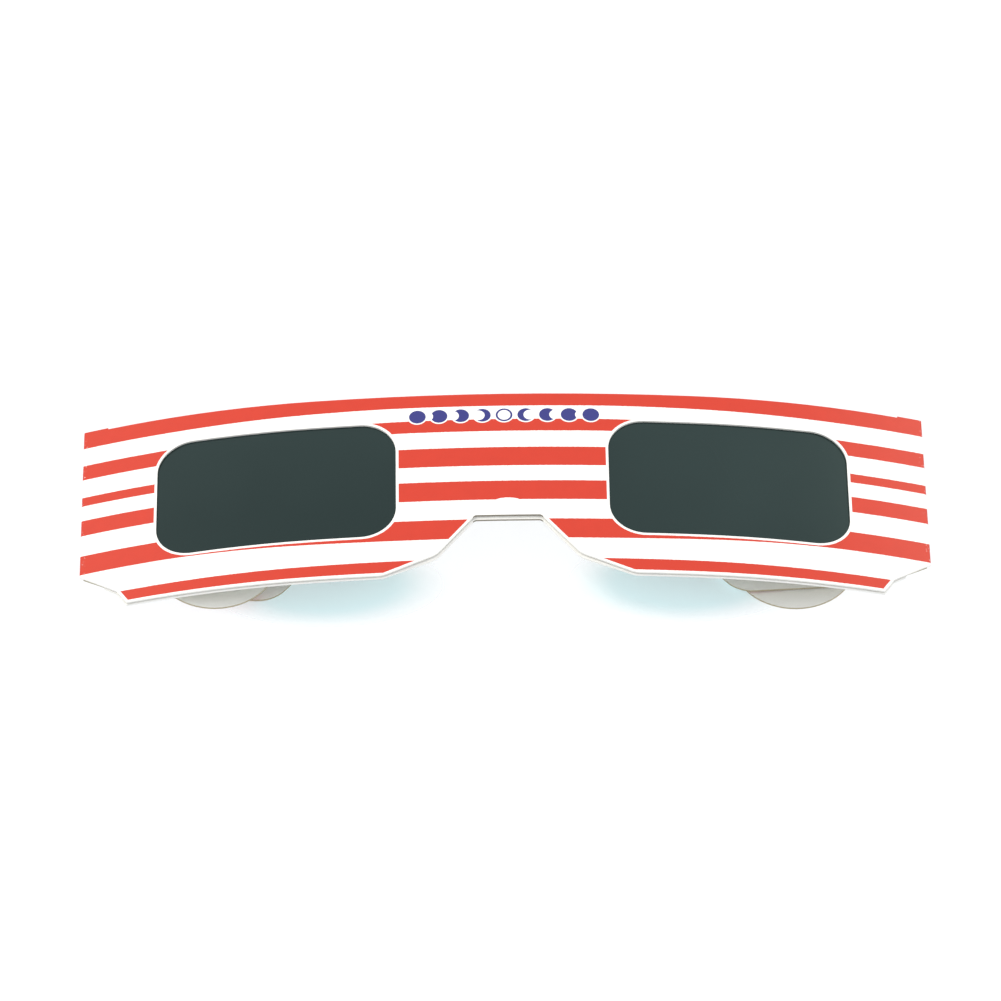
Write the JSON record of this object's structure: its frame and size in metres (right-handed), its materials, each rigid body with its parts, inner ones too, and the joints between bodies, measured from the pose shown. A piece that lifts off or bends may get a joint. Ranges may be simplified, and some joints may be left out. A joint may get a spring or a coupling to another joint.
{
  "type": "eclipse glasses",
  "caption": "Folding card sun-viewing glasses: a bowed striped front with dark filter windows and a nose notch, and card temples with ear hooks folded under it.",
  "frame": {"origin": "on the table, under the middle of the folded object's box", "axes": "+X along the front to the right of the picture, +Y up the card from nose notch to top fold, +Z off the table, out of the printed face"},
  "size_m": [0.146, 0.041, 0.01],
  "materials": {
    "printed_card": "coated white card printed with red stripes",
    "temple_card": "white card, coated and striped on its outer face, bare inside",
    "plain_card": "uncoated white card",
    "filter_film": "dark grey-green polymer film",
    "film_tack": "thin pressure-sensitive adhesive",
    "card_glue": "dried white paper glue"
  },
  "bodies": {
    "front": {"front_panel": "printed_card", "top_fold": "printed_card", "back_panel": "plain_card", "panel_glue": "card_glue", "left_filter": "filter_film", "right_filter": "filter_film", "left_filter_tack": "film_tack", "right_filter_tack": "film_tack", "left_crease": "printed_card", "right_crease": "printed_card"},
    "left_temple": {"left_temple": "temple_card"},
    "right_temple": {"right_temple": "temple_card"}
  },
  "joints": [
    {"name": "left_temple_fold", "type": "hinge", "parent": "front", "child": "left_temple", "pos_m": [-0.07265, 0.00455, 0.00036], "axis": [0, 1, 0], "range_deg": [0, 162.3]},
    {"name": "right_temple_fold", "type": "hinge", "parent": "front", "child": "right_temple", "pos_m": [0.07265, 0.00455, 0.00065], "axis": [0, -1, 0], "range_deg": [0, 163.5]}
  ]
}
